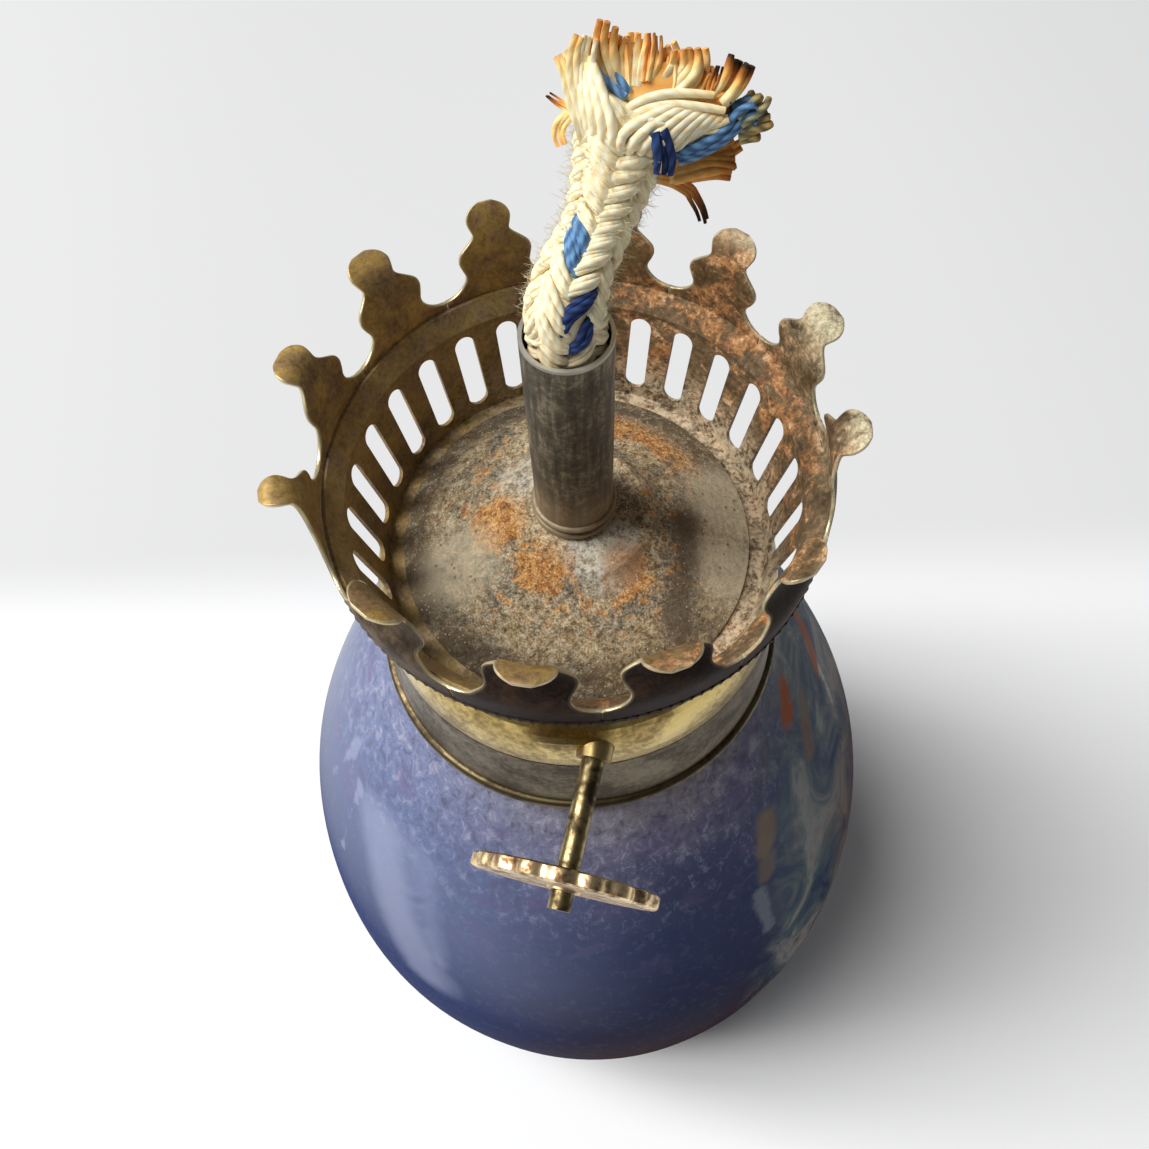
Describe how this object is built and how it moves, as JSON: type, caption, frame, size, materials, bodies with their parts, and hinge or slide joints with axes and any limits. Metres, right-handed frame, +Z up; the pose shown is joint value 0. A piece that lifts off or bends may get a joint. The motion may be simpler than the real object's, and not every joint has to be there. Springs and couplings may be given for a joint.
{
  "type": "ceramic oil lamp",
  "caption": "Round glazed oil lamp font with a brass screw collar, a slotted crown burner with trefoil prongs, a tall round wick tube and a side spindle that winds the wick.",
  "frame": {"origin": "centre of the flat foot, on the table", "axes": "+Z up the lamp's axis, -Y toward the thumb wheel's side, +X to the right of that view"},
  "size_m": [0.118, 0.118, 0.2388],
  "materials": {
    "glaze": "glossy mottled blue glaze",
    "brass": "worn polish",
    "aged_brass": "brown patina with verdigris and rust",
    "steel": "dark aged steel",
    "plaster": "stained setting plaster",
    "cotton": "braided cotton, scorched at the end"
  },
  "bodies": {
    "font_body": {"font": "glaze", "collar": "aged_brass", "collar_cement": "plaster"},
    "burner": {"screw_skirt": "brass", "chamber_floor": "brass", "burner_shoulder": "brass", "slotted_basket": "aged_brass", "deck_plate": "aged_brass", "crown_ring": "aged_brass", "wick_tube": "steel", "wheel_box": "brass", "shaft_bushing": "brass"},
    "winder": {"winder_shaft": "brass", "thumb_wheel": "brass", "star_wheel_near": "brass", "star_wheel_far": "brass"},
    "wick_body": {"wick": "cotton"}
  },
  "joints": [
    {"name": "burner_lift", "type": "slide", "parent": "font_body", "child": "burner", "axis": [0, 0, 1], "range_m": [0, 0.0075]},
    {"name": "winder_turn", "type": "hinge", "parent": "burner", "child": "winder", "pos_m": [0.00807, -0.00232, 0.17365], "axis": [0.2741, 0.956, 0.1045], "range_deg": [-18.5, 250]},
    {"name": "wick_raise", "type": "slide", "parent": "burner", "child": "wick_body", "axis": [0, 0, 1], "range_m": [-0.0015, 0.02]}
  ],
  "couplings": [
    {"joint": "wick_raise", "follows": "winder_turn", "m_per_rad": 0.00455}
  ]
}
